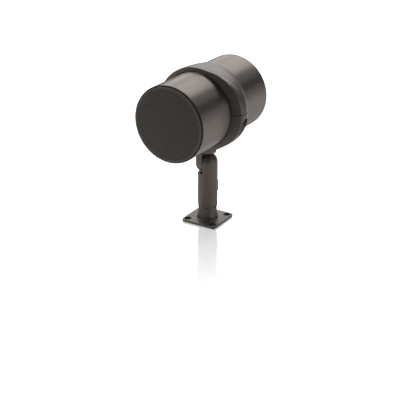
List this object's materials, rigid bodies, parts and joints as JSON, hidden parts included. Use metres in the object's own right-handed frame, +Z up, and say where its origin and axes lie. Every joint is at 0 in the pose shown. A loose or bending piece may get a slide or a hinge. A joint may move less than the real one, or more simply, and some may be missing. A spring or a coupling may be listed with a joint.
{
  "type": "outdoor patio speaker",
  "caption": "Round barrel speaker for outdoors with a perforated front grille, held in a clamp collar on a tilting knuckle and a swivelling post with a screw-down square foot.",
  "frame": {"origin": "centre of the square flange's underside, on the axis of the post and of the screw pattern", "axes": "+Z up along the post, -Y the way the speaker faces, +X towards the clamp lug"},
  "size_m": [0.1578, 0.2059, 0.2768],
  "materials": {
    "bronze_cast": "satin",
    "bronze_plastic": "satin",
    "steel": "satin",
    "rubber": "matte",
    "black_plastic": "satin",
    "ferrite": "matte",
    "copper": "satin",
    "brass": "satin",
    "cloth": "matte",
    "cone_plastic": "satin",
    "grille_sheet": "satin",
    "foam": "matte",
    "board": "satin",
    "film_plastic": "gloss",
    "green_plastic": "satin",
    "fibre": "matte"
  },
  "bodies": {
    "base": {"base_flange": "bronze_cast", "swivel_stem": "steel", "swivel_washer": "rubber"},
    "post": {"post": "bronze_cast", "cable_exit_cover": "bronze_plastic", "pivot_bolt": "steel", "pivot_washer": "steel"},
    "head": {"knuckle_head": "bronze_cast", "friction_washer": "rubber", "collar": "bronze_cast", "clamp_washer": "steel", "clamp_screw": "steel", "collar_liner": "rubber", "barrel": "bronze_plastic", "cable_grommet": "rubber", "baffle": "black_plastic", "baffle_screws": "steel", "driver_gasket": "rubber", "driver_frame": "black_plastic", "driver_screws": "steel", "top_plate": "steel", "ring_magnet": "ferrite", "pole_yoke": "steel", "voice_coil": "copper", "spider": "cloth", "cone": "cone_plastic", "surround": "rubber", "tweeter_post": "brass", "tweeter_cup": "black_plastic", "tweeter_dome": "cloth", "grille": "grille_sheet", "grille_cloth": "cloth", "grille_foam": "foam", "crossover_board": "board", "board_screws": "steel", "inductor": "copper", "capacitors": "film_plastic", "terminal_block": "green_plastic", "wadding": "fibre"}
  },
  "joints": [
    {"name": "pan", "type": "hinge", "parent": "base", "child": "post", "pos_m": [0, 0, 0.0261], "axis": [0, 0, 1], "range_deg": [-175, 175]},
    {"name": "tilt", "type": "hinge", "parent": "post", "child": "head", "pos_m": [0, 0, 0.105], "axis": [1, 0, 0], "range_deg": [-90, 70]}
  ]
}
